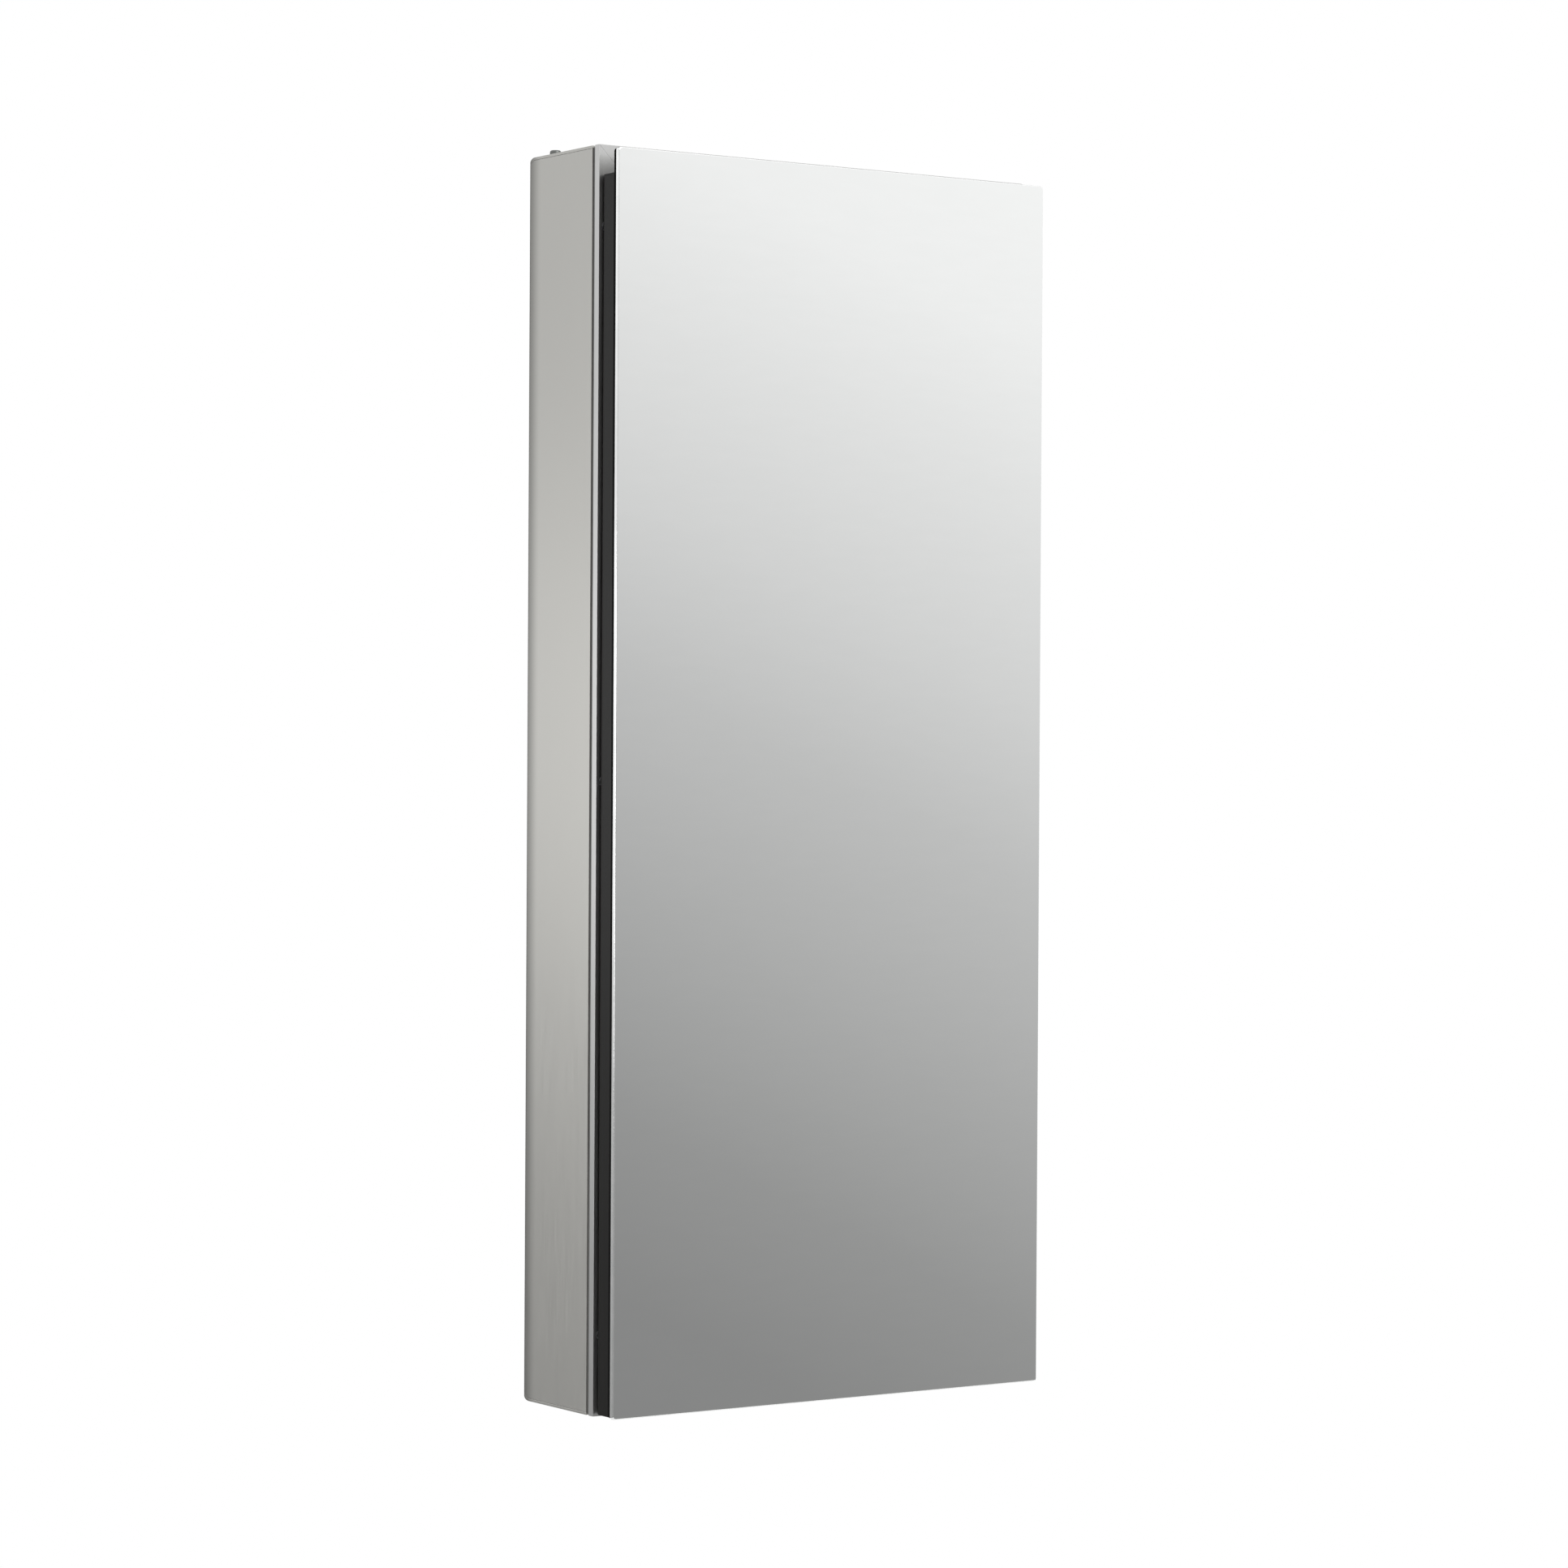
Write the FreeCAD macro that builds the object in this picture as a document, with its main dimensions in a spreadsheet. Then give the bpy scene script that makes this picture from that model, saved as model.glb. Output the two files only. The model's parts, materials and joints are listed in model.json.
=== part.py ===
import FreeCAD, Part
import Sketcher
import math
import os

# Slim wall cabinet with one mirrored door.
# Frame: +X to the viewer's right, +Y into the wall, +Z up, millimetres.
# The origin lies on the wall plane, at the middle of the wall fixing holes.
# The case is a flanged box that can be sunk into a wall; here a surface kit
# of four outer panels clothes it. The door turns on a top and a bottom pivot
# at its right side. Three glass shelves stand on clips in slotted tracks.

DRIVING_SIZES = {
    # whole object
    "case_width": 381.0,
    "case_height": 917.6,
    "case_depth": 100.0,          # wall plane to the flange face
    # case extrusions
    "flange_width": 12.7,         # flange overhang outside the box
    "flange_sheet": 1.5,
    "wall_sheet": 1.2,
    "lip_return": 6.0,
    "back_sheet": 1.5,
    "key_sheet": 3.0,
    "key_arm": 34.0,
    "key_width": 9.0,
    # wall fixing holes
    "fixing_across": 254.0,
    "fixing_up": 824.0,
    "fixing_radius": 3.25,
    # surface kit
    "groove": 3.5,
    "gasket_inset": 1.2,
    "side_sheet": 1.2,
    "cap_sheet": 2.0,
    "side_bend": 4.0,             # upright rear edges
    "cap_bend": 9.0,              # top and bottom rear edges
    "cap_seam": 0.2,
    "kit_bracket_sheet": 1.5,
    "kit_bracket_tall": 30.0,
    "kit_bracket_leg": 15.0,
    "kit_bracket_pitch": 300.0,
    "corner_block_tall": 12.0,
    "corner_block_deep": 20.0,
    "panel_screw_back": 30.0,     # kit screw to the wall plane
    "panel_screw_side": 5.4,      # kit screw to the outer face
    "panel_head_radius": 4.2,
    "panel_head_tall": 3.2,
    # inside of the case
    "mirror_sheet": 3.0,
    "back_mirror_width": 350.0,
    "back_mirror_height": 780.0,
    "track_width": 14.0,
    "track_sheet": 2.0,
    "track_length": 762.0,
    "track_front_back": 75.0,     # front tracks to the wall plane
    "track_rear_back": 24.0,
    "slot_width": 7.4,
    "slot_tall": 8.0,
    "slot_pitch": 25.4,
    "slot_count": 29,
    "slots_between_shelves": 8,
    "clip_width": 7.0,
    "clip_sheet": 1.5,
    "clip_rise": 5.0,
    "clip_drop": 7.0,
    "clip_reach": 14.6,
    "clip_play": 0.1,
    "shelf_sheet": 5.0,
    "shelf_side_gap": 4.1,
    "shelf_front_back": 94.0,
    "shelf_rear_back": 8.0,
    "shelf_lift_play": 0.05,
    # door
    "door_gap": 1.5,              # flange face to the back of the door
    "door_depth": 27.0,           # flange face to the front of the mirror
    "glass_sheet": 4.0,
    "glass_top_inset": 4.6,
    "glass_bottom_inset": 0.8,
    "glass_chamfer": 0.5,
    "backing_sheet": 3.5,
    "backing_inset": 0.5,
    "stile_inset": 2.0,
    "core_end_inset": 22.0,       # door frame ends this far inside the case height
    "stile_foot": 1.5,            # left stile's lower end to the bottom of the case
    "plug_tall": 5.0,
    "frame_sheet": 1.5,
    "frame_width": 26.0,
    "frame_rear_bend": 3.0,
    "frame_front_bend": 3.0,
    "inner_mirror_play": 2.0,     # clears the bend inside the door frame
    "tape_width": 25.0,
    # pivots
    "pivot_side": 8.0,            # pivot axis to the case's right face
    "pivot_ahead": 13.0,          # pivot axis to the flange face
    "pin_radius": 2.0,
    "pin_bore_radius": 2.05,
    "bush_radius": 3.5,
    "bush_flange_radius": 6.0,
    "bush_depth": 11.0,
    "bracket_sheet": 3.0,
    "bracket_play": 0.1,
    "bracket_nose": 6.0,
    "bracket_neck_width": 16.0,
    "bracket_base_width": 30.0,
    "bracket_base_back": 60.0,
    "bracket_base_front": 98.0,
    "bracket_wall_play": 0.6,
    "bracket_corner": 3.0,
    "bracket_neck_bend": 6.0,
    "bracket_nose_bend": 5.65,
    "bracket_screw_inset": 8.0,
    "pin_engagement": 4.0,
    "fixed_pin_extra": 2.0,
    "collar_radius": 3.3,
    "collar_tall": 1.0,
    "barrel_radius": 4.5,
    "barrel_bore": 3.5,
    "barrel_cap": 1.0,
    "spring_room": 5.9,
    "spring_radius": 2.72,
    "spring_wire": 0.4,
    "spring_coils": 5,
    "spring_play": 0.1,
    "knob_radius": 4.0,
    "knob_tall": 1.8,
    "rivet_radius": 3.5,
    "rivet_tall": 1.5,
    # magnetic catch
    "catch_width": 40.0,
    "catch_deep": 20.0,
    "catch_tall": 20.0,
    "catch_from_left": 40.5,
    "catch_front_inset": 1.0,
    "pole_sheet": 1.5,
    "pole_proud": 0.8,
    "magnet_width": 32.0,
    "magnet_deep": 14.0,
    "magnet_tall": 6.0,
    "magnet_rise": 2.6,
    "strike_sheet": 0.9,
    "strike_width": 36.0,
    "strike_tall": 13.0,
    "strike_top_inset": 1.8,
    # small screws and bumpers
    "screw_radius": 1.75,
    "screw_length": 8.0,
    "screw_head_radius": 3.2,
    "screw_head_tall": 1.8,
    "bumper_radius": 4.0,
    "bumper_tall": 1.4,
    "bumper_pitch": 400.0,
    "door_screw_side": 22.0,      # corner screw to the door frame's side
}

START, END, CENTRE = 1, 2, 3      # how a sketch numbers the points of a curve
TINY = 1e-6

doc = FreeCAD.newDocument("mirror_cabinet")
sheet = doc.addObject("Spreadsheet::Sheet", "sizes")
for row, (name, number) in enumerate(DRIVING_SIZES.items(), start=1):
    sheet.set(f"A{row}", name)
    sheet.set(f"B{row}", str(number))
    sheet.setAlias(f"B{row}", name)
doc.recompute()


class Size:
    """A length that knows its value now and the sheet expression it follows."""

    def __init__(self, value, text):
        self.value = float(value)
        self.text = text

    def _join(self, other, sign, value, flip=False):
        left, right = (other.text, self.text) if flip else (self.text, other.text)
        return Size(value, f"({left} {sign} {right})")

    def __add__(self, other):
        other = size(other)
        return self._join(other, "+", self.value + other.value)

    def __radd__(self, other):
        return size(other) + self

    def __sub__(self, other):
        other = size(other)
        return self._join(other, "-", self.value - other.value)

    def __rsub__(self, other):
        return size(other) - self

    def __mul__(self, other):
        other = size(other)
        return self._join(other, "*", self.value * other.value)

    def __rmul__(self, other):
        return size(other) * self

    def __truediv__(self, other):
        other = size(other)
        return self._join(other, "/", self.value / other.value)

    def __neg__(self):
        return size(0) - self


def size(number):
    """Turn a plain number into a Size."""
    return number if isinstance(number, Size) else Size(number, repr(float(number)))


def cell(name):
    """The Size held by a cell of the sheet."""
    return Size(DRIVING_SIZES[name], f"sizes.{name}")


parts = []


def new_part(label):
    """An empty body that will be written out under its label."""
    body = doc.addObject("PartDesign::Body", label)
    body.Label = label
    body.AllowCompound = True
    parts.append(body)
    return body


def place(body, x=0, y=0, z=0, turn_about_y=0):
    """Bind where a body stands; the turn is in degrees about +Y."""
    turn = FreeCAD.Rotation(FreeCAD.Vector(0, 1, 0), turn_about_y)
    body.Placement = FreeCAD.Placement(FreeCAD.Vector(0, 0, 0), turn)
    for axis, distance in (("x", x), ("y", y), ("z", z)):
        body.setExpression(f".Placement.Base.{axis}", size(distance).text)


def new_sketch(body, plane, height=None):
    """A sketch on one of the body's own origin planes, optionally raised along its normal."""
    sketch = body.newObject("Sketcher::SketchObject", f"{body.Name}_sketch")
    support = [item for item in body.Origin.OriginFeatures if item.Role == plane][0]
    sketch.AttachmentSupport = [(support, "")]
    sketch.MapMode = "FlatFace"
    if height is not None:
        sketch.setExpression(".AttachmentOffset.Base.z", size(height).text)
    return sketch


def hold_point(curve, end, x=None, y=None):
    """Constraints that fix x, y or both of a curve's end, or of its centre."""
    return [(Sketcher.Constraint(kind, -1, 1, curve, end, distance.value), distance.text)
            for kind, distance in (("DistanceX", x), ("DistanceY", y)) if distance is not None]


def bind(sketch, held):
    """Add the constraints in one go and tie each one to the sheet."""
    numbers = sketch.addConstraint([constraint for constraint, _ in held])
    for number, (_, text) in zip(numbers, held):
        sketch.setExpression(f"Constraints[{number}]", text)


def step_towards(start, goal, reach):
    """The point at a distance from start along the level or upright line to goal."""
    along_x = goal[0].value - start[0].value
    along_y = goal[1].value - start[1].value
    if abs(along_x) > abs(along_y):
        return (start[0] + reach * math.copysign(1, along_x), start[1])
    return (start[0], start[1] + reach * math.copysign(1, along_y))


def outline(sketch, corners):
    """A closed outline; a corner with a third value is rounded to that radius."""
    corners = [tuple(size(number) for number in corner) for corner in corners]
    count = len(corners)
    stops = []
    for place_in_loop, corner in enumerate(corners):
        if len(corner) == 2:
            stops.append((corner, corner, None))
            continue
        before = corners[place_in_loop - 1]
        after = corners[(place_in_loop + 1) % count]
        radius = corner[2]
        stops.append((step_towards(corner, before, radius), step_towards(corner, after, radius), corner))
    held = []
    for place_in_loop, (arrive, leave, rounded) in enumerate(stops):
        following = stops[(place_in_loop + 1) % count][0]
        start = FreeCAD.Vector(leave[0].value, leave[1].value, 0)
        end = FreeCAD.Vector(following[0].value, following[1].value, 0)
        line = sketch.addGeometry(Part.LineSegment(start, end))
        held += hold_point(line, START, leave[0], leave[1])
        held += hold_point(line, END, following[0], following[1])
        if rounded:
            held += add_corner_arc(sketch, arrive, leave, rounded)
    bind(sketch, held)


def add_corner_arc(sketch, arrive, leave, corner):
    """The quarter circle that rounds a square corner, held by its centre and its two ends."""
    centre = (arrive[0] + leave[0] - corner[0], arrive[1] + leave[1] - corner[1])
    middle = FreeCAD.Vector(centre[0].value, centre[1].value, 0)
    ends = []
    for point in (arrive, leave):
        spoke = FreeCAD.Vector(point[0].value, point[1].value, 0) - middle
        ends.append((point, math.atan2(spoke.y, spoke.x)))
    quarter = (ends[1][1] - ends[0][1]) % (2 * math.pi)
    if quarter > math.pi:
        ends.reverse()
    (start, start_angle), (end, _) = ends
    circle_round = Part.Circle(middle, FreeCAD.Vector(0, 0, 1), corner[2].value)
    arc = sketch.addGeometry(Part.ArcOfCircle(circle_round, start_angle, start_angle + math.pi / 2))
    held = hold_point(arc, CENTRE, centre[0], centre[1]) + hold_point(arc, START, start[0], start[1])
    if abs(end[0].value - centre[0].value) < TINY:
        return held + hold_point(arc, END, x=end[0])
    return held + hold_point(arc, END, y=end[1])


def rectangle(sketch, x, y):
    """A rectangle between two x values and two y values."""
    outline(sketch, [(x[0], y[0]), (x[1], y[0]), (x[1], y[1]), (x[0], y[1])])


def circle(sketch, centre, radius):
    """A circle whose centre and radius follow the sheet."""
    x, y, radius = size(centre[0]), size(centre[1]), size(radius)
    middle = FreeCAD.Vector(x.value, y.value, 0)
    ring = sketch.addGeometry(Part.Circle(middle, FreeCAD.Vector(0, 0, 1), radius.value))
    bind(sketch, hold_point(ring, CENTRE, x, y)
         + [(Sketcher.Constraint("Radius", ring, radius.value), radius.text)])


def pad(body, sketch, length, midplane=False, reverse=False):
    """Thicken a sketch along its normal."""
    feature = body.newObject("PartDesign::Pad", f"{body.Name}_pad")
    feature.Profile = sketch
    feature.SideType = "Symmetric" if midplane else "One side"
    feature.Reversed = reverse
    feature.setExpression("Length", size(length).text)
    doc.recompute()
    return feature


def cut(body, sketch, depth=None, reverse=False):
    """Cut a sketch out of the body: right through, or to a depth along the normal."""
    volume_before = body.Shape.Volume
    feature = body.newObject("PartDesign::Pocket", f"{body.Name}_cut")
    feature.Profile = sketch
    if depth is None:
        feature.Type = "ThroughAll"
        feature.SideType = "Symmetric"
    else:
        feature.Reversed = reverse
        feature.setExpression("Length", size(depth).text)
    doc.recompute()
    if not body.Shape.Volume < volume_before:
        raise RuntimeError(f"a cut in {body.Label} removed nothing")
    return feature


def block(label, x, y, z):
    """A plate or block between pairs of x, y and z values."""
    body = new_part(label)
    sketch = new_sketch(body, "XY_Plane")
    rectangle(sketch, (0, size(x[1]) - x[0]), (0, size(y[1]) - y[0]))
    pad(body, sketch, size(z[1]) - z[0])
    place(body, x[0], y[0], z[0])
    return body


def turned(label, outline_points, x, y, z):
    """A lathe piece: an outline of (radius, height) turned about an upright axis."""
    body = new_part(label)
    sketch = new_sketch(body, "XZ_Plane")
    outline(sketch, outline_points)
    feature = body.newObject("PartDesign::Revolution", f"{label}_turn")
    feature.Profile = sketch
    feature.ReferenceAxis = (sketch, ["V_Axis"])
    feature.Angle = 360
    doc.recompute()
    place(body, x, y, z)
    return body


def screws_on(body, face, centres, head, shank, head_below):
    """Screws at a level face: heads on one side of it and shanks on the other, as (radius, length)."""
    for (radius, length), reverse in ((head, head_below), (shank, not head_below)):
        plan = new_sketch(body, "XY_Plane", face)
        for centre in centres:
            circle(plan, centre, radius)
        pad(body, plan, length, reverse=reverse)


def repeat_up(body, feature, pitch, count, sketch):
    """Repeat a feature along the body's upright axis."""
    pattern = body.newObject("PartDesign::LinearPattern", f"{body.Name}_row")
    pattern.Originals = [feature]
    pattern.Direction = (sketch, ["V_Axis"])
    pattern.setExpression("Length", ((count - 1) * pitch).text)
    pattern.setExpression("Occurrences", size(count).text)
    body.Tip = pattern
    doc.recompute()
    return pattern


# ---------------------------------------------------------------- main planes
half_width = cell("case_width") / 2
half_height = cell("case_height") / 2
flange_face = -cell("case_depth")
box_half_width = half_width - cell("flange_width")
box_half_height = half_height - cell("flange_width")
inner_half_width = box_half_width - cell("wall_sheet")
inner_half_height = box_half_height - cell("wall_sheet")
lip_rear = flange_face + cell("lip_return")
kit_front = lip_rear + cell("groove")
door_rear = flange_face - cell("door_gap")
mirror_front = flange_face - cell("door_depth")
mirror_rear = mirror_front + cell("glass_sheet")
frame_front = mirror_rear + cell("backing_sheet")
frame_half_width = half_width - cell("stile_inset")
frame_half_height = half_height - cell("core_end_inset")
pivot_x = half_width - cell("pivot_side")
pivot_y = flange_face - cell("pivot_ahead")
frame_sheet = cell("frame_sheet")
stile_top = frame_half_height - frame_sheet
left_stile_foot = -half_height + cell("stile_foot")
clear = 1.0                       # how far a cutter reaches past what it cuts
SIDES = (("left", -1), ("right", 1))
ENDS = (("bottom", -1), ("top", 1))


# ---------------------------------------------------------------- case
def case_wall(label, length, x, z, turn_about_y):
    """One mitred extrusion: flange, its return lip and the wall of the box.

    Its section is drawn with x running inwards from the case's outer face.
    """
    inner = cell("flange_width") + cell("wall_sheet")
    body = new_part(label)
    section = new_sketch(body, "XY_Plane")
    outline(section, [
        (0, flange_face),
        (inner, flange_face),
        (inner, -cell("back_sheet")),
        (cell("flange_width"), -cell("back_sheet")),
        (cell("flange_width"), flange_face + cell("flange_sheet")),
        (cell("flange_sheet"), flange_face + cell("flange_sheet")),
        (cell("flange_sheet"), lip_rear),
        (0, lip_rear),
    ])
    pad(body, section, length, midplane=True)
    for end in (-1, 1):
        mitre = new_sketch(body, "XZ_Plane")
        tip = end * length / 2
        reach = inner + clear
        outline(mitre, [(0, tip), (reach, tip - end * reach), (reach, tip + end * clear),
                        (0, tip + end * clear)])
        cut(body, mitre)
    place(body, x, 0, z, turn_about_y)


def case_walls():
    case_wall("case_wall_left", cell("case_height"), -half_width, 0, 0)
    case_wall("case_wall_right", cell("case_height"), half_width, 0, 180)
    case_wall("case_wall_top", cell("case_width"), 0, half_height, 90)
    case_wall("case_wall_bottom", cell("case_width"), 0, -half_height, -90)


def corner_keys():
    """Four flat angles behind the flange that hold the mitres together."""
    body = new_part("corner_keys")
    sketch = new_sketch(body, "XZ_Plane")
    far_x = half_width - cell("flange_sheet")
    far_z = half_height - cell("flange_sheet")
    near_x = far_x - cell("key_width")
    near_z = far_z - cell("key_width")
    for x in (-1, 1):
        for z in (-1, 1):
            outline(sketch, [
                (x * far_x, z * far_z),
                (x * far_x, z * (far_z - cell("key_arm"))),
                (x * near_x, z * (far_z - cell("key_arm"))),
                (x * near_x, z * near_z),
                (x * (far_x - cell("key_arm")), z * near_z),
                (x * (far_x - cell("key_arm")), z * far_z),
            ])
    pad(body, sketch, cell("key_sheet"))
    place(body, 0, flange_face + cell("flange_sheet") + cell("key_sheet"), 0)


def back_panel():
    """The rear sheet with the four wall fixing holes."""
    body = block("back_panel", (-box_half_width, box_half_width), (-cell("back_sheet"), 0),
                 (-box_half_height, box_half_height))
    holes = new_sketch(body, "XZ_Plane")
    for x in (-1, 1):
        for z in (-1, 1):
            circle(holes, (box_half_width + x * cell("fixing_across") / 2,
                           box_half_height + z * cell("fixing_up") / 2), cell("fixing_radius"))
    cut(body, holes)


def back_mirror():
    rear = -cell("back_sheet")
    block("back_mirror",
          (-cell("back_mirror_width") / 2, cell("back_mirror_width") / 2),
          (rear - cell("mirror_sheet"), rear),
          (-cell("back_mirror_height") / 2, cell("back_mirror_height") / 2))


# ---------------------------------------------------------------- surface kit
def groove_gasket():
    """The dark ring that fills the groove between the lip and the kit panels."""
    body = new_part("groove_gasket")
    ring = new_sketch(body, "XZ_Plane")
    outer_x = half_width - cell("gasket_inset")
    outer_z = half_height - cell("gasket_inset")
    rectangle(ring, (-outer_x, outer_x), (-outer_z, outer_z))
    rectangle(ring, (-box_half_width, box_half_width), (-box_half_height, box_half_height))
    pad(body, ring, cell("groove"))
    place(body, 0, kit_front, 0)


def kit_side_panel(label, x, turn_about_y):
    """A satin side panel: a channel whose rear edge is bent round to the wall."""
    sheet_side = cell("side_sheet")
    deep = cell("flange_width")
    body = new_part(label)
    section = new_sketch(body, "XY_Plane")
    outline(section, [
        (0, kit_front),
        (deep, kit_front),
        (deep, kit_front + sheet_side),
        (sheet_side, kit_front + sheet_side),
        (sheet_side, -sheet_side, cell("side_bend") - sheet_side),
        (deep, -sheet_side),
        (deep, 0),
        (0, 0, cell("side_bend")),
    ])
    tall = cell("case_height") - 2 * (cell("cap_sheet") + cell("cap_seam"))
    pad(body, section, tall, midplane=True)
    # room at both ends for the bent rear edge of the top and bottom panels
    inner_bend = cell("cap_bend") - cell("cap_sheet")
    for end in (-1, 1):
        tip = end * tall / 2
        corner = new_sketch(body, "YZ_Plane")
        outline(corner, [
            (-cell("cap_bend") - clear, tip),
            (-cell("cap_sheet"), tip, inner_bend),
            (-cell("cap_sheet"), end * box_half_height),
            (size(clear), end * box_half_height),
            (size(clear), tip + end * clear),
            (-cell("cap_bend") - clear, tip + end * clear),
        ])
        cut(body, corner)
    place(body, x, 0, 0, turn_about_y)


def kit_cap_panel(label, end):
    """The top or bottom panel: a thicker sheet bent down behind the case."""
    cap = cell("cap_sheet")
    outer = end * half_height
    body = new_part(label)
    section = new_sketch(body, "YZ_Plane")
    outline(section, [
        (kit_front, outer),
        (0, outer, cell("cap_bend")),
        (0, end * box_half_height),
        (-cap, end * box_half_height),
        (-cap, outer - end * cap, cell("cap_bend") - cap),
        (kit_front, outer - end * cap),
    ])
    pad(body, section, cell("case_width"), midplane=True)
    round_rear_corners(body, half_width, size(0), cell("side_bend"))
    holes = new_sketch(body, "XY_Plane")
    for side in (-1, 1):
        circle(holes, (side * (half_width - cell("panel_screw_side")), -cell("panel_screw_back")),
               cell("screw_radius"))
    cut(body, holes)


def round_rear_corners(body, half_span, rear, radius):
    """Round off, in plan, the two rear corners of a body."""
    for side in (-1, 1):
        corner = new_sketch(body, "XY_Plane")
        edge = side * half_span
        outline(corner, [
            (edge + side * clear, rear - radius - clear),
            (edge, rear - radius - clear),
            (edge, rear, radius),
            (edge - side * (radius + clear), rear),
            (edge - side * (radius + clear), rear + clear),
            (edge + side * clear, rear + clear),
        ])
        cut(body, corner)


def kit_brackets(label, side):
    """Three folded brackets between the box and a side panel."""
    sheet_side = cell("kit_bracket_sheet")
    inner = side * box_half_width
    outer = side * (half_width - cell("side_sheet"))
    middle = kit_front / 2
    body = new_part(label)
    for level in (-1, 0, 1):
        section = new_sketch(body, "XY_Plane", level * cell("kit_bracket_pitch")
                             - cell("kit_bracket_tall") / 2)
        outline(section, [
            (inner, middle),
            (inner, middle + cell("kit_bracket_leg")),
            (inner + side * sheet_side, middle + cell("kit_bracket_leg")),
            (inner + side * sheet_side, middle + sheet_side),
            (outer, middle + sheet_side),
            (outer, middle - cell("kit_bracket_leg")),
            (outer - side * sheet_side, middle - cell("kit_bracket_leg")),
            (outer - side * sheet_side, middle),
        ])
        pad(body, section, cell("kit_bracket_tall"))


def corner_blocks():
    """Threaded blocks in the kit's corners, which the panel screws bite into."""
    body = new_part("corner_blocks")
    top = half_height - cell("cap_sheet")
    outer = half_width - cell("side_sheet")
    rear = -cell("panel_screw_back") + cell("corner_block_deep") / 2
    for end in (-1, 1):
        start = top - cell("corner_block_tall") if end > 0 else -top
        plan = new_sketch(body, "XY_Plane", start)
        for side in (-1, 1):
            rectangle(plan, (side * box_half_width, side * outer),
                      (rear - cell("corner_block_deep"), rear))
            circle(plan, (side * (half_width - cell("panel_screw_side")), -cell("panel_screw_back")),
                   cell("screw_radius"))
        pad(body, plan, cell("corner_block_tall"))


def panel_screws():
    """Pan-head screws that stand on the top panel, and headless ones flush with the bottom panel."""
    body = new_part("panel_screws")
    centres = [(side * (half_width - cell("panel_screw_side")), -cell("panel_screw_back"))
               for side in (-1, 1)]
    screws_on(body, half_height, centres,
              (cell("panel_head_radius"), cell("panel_head_tall")),
              (cell("screw_radius"), cell("screw_length")), False)
    headless = new_sketch(body, "XY_Plane", -half_height)
    for centre in centres:
        circle(headless, centre, cell("screw_radius"))
    pad(body, headless, cell("screw_length"))


def surface_kit():
    groove_gasket()
    kit_side_panel("side_panel_left", -half_width, 0)
    kit_side_panel("side_panel_right", half_width, 180)
    for name, end in ENDS:
        kit_cap_panel(f"{name}_panel", end)
    for name, side in SIDES:
        kit_brackets(f"panel_brackets_{name}", side)
    corner_blocks()
    panel_screws()


# ---------------------------------------------------------------- shelves
def shelf_level(step):
    """Height of a shelf's underside, on a whole number of slots."""
    return step * cell("slots_between_shelves") * cell("slot_pitch") + cell("clip_rise")


def track_lines():
    return (("front", -cell("track_front_back")), ("rear", -cell("track_rear_back")))


def shelf_track(label, side, y):
    """A slotted upright strip on a side wall."""
    wall = side * inner_half_width
    strip = wall - side * cell("track_sheet")
    low_x, high_x = (wall, strip) if side < 0 else (strip, wall)
    half_track = cell("track_width") / 2
    body = block(label, (low_x, high_x), (y - half_track, y + half_track),
                 (-cell("track_length") / 2, cell("track_length") / 2))
    slot = new_sketch(body, "YZ_Plane")
    first = cell("track_length") / 2 - (cell("slot_count") - 1) / 2 * cell("slot_pitch")
    rectangle(slot, (half_track - cell("slot_width") / 2, half_track + cell("slot_width") / 2),
              (first - cell("slot_tall") / 2, first + cell("slot_tall") / 2))
    first_slot = cut(body, slot)
    repeat_up(body, first_slot, cell("slot_pitch"), cell("slot_count"), slot)


def track_screws():
    """Two screws through each track, above the top slot and below the bottom one."""
    body = new_part("track_screws")
    high = (cell("track_length") - cell("track_width")) / 2 + cell("screw_radius")
    centres = [(y, end * high) for _, y in track_lines() for end in (-1, 1)]
    for side in (-1, 1):
        heads = new_sketch(body, "YZ_Plane", side * (inner_half_width - cell("track_sheet")))
        for centre in centres:
            circle(heads, centre, cell("screw_head_radius"))
        pad(body, heads, cell("screw_head_tall"), reverse=side > 0)


def shelf_clips(label, level):
    """The four hooked clips that carry one shelf."""
    body = new_part(label)
    slot_half = cell("slot_tall") / 2 - cell("clip_play")
    strip = cell("track_sheet")
    plate = strip + cell("clip_sheet")
    tongue = cell("clip_rise") - cell("clip_sheet")
    for _, y in track_lines():
        for side in (-1, 1):
            profile = new_sketch(body, "XZ_Plane", -y - cell("clip_width") / 2)
            outline(profile, [
                (side * (inner_half_width - reach), level - cell("clip_rise") + height)
                for reach, height in (
                    (size(0), -slot_half),
                    (strip, -slot_half),
                    (strip, -cell("clip_drop")),
                    (plate, -cell("clip_drop")),
                    (plate, tongue),
                    (cell("clip_reach"), tongue),
                    (cell("clip_reach"), cell("clip_rise")),
                    (strip, cell("clip_rise")),
                    (strip, slot_half),
                    (size(0), slot_half),
                )
            ])
            pad(body, profile, cell("clip_width"))


def glass_shelf(label, level):
    edge = inner_half_width - cell("shelf_side_gap")
    bottom = level + cell("shelf_lift_play")
    block(label, (-edge, edge), (-cell("shelf_front_back"), -cell("shelf_rear_back")),
          (bottom, bottom + cell("shelf_sheet")))


def shelves():
    for side_name, side in SIDES:
        for line_name, y in track_lines():
            shelf_track(f"shelf_track_{side_name}_{line_name}", side, y)
    track_screws()
    for step, name in ((-1, "lower"), (0, "middle"), (1, "upper")):
        shelf_clips(f"shelf_clips_{name}", shelf_level(step))
        glass_shelf(f"glass_shelf_{name}", shelf_level(step))


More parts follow.
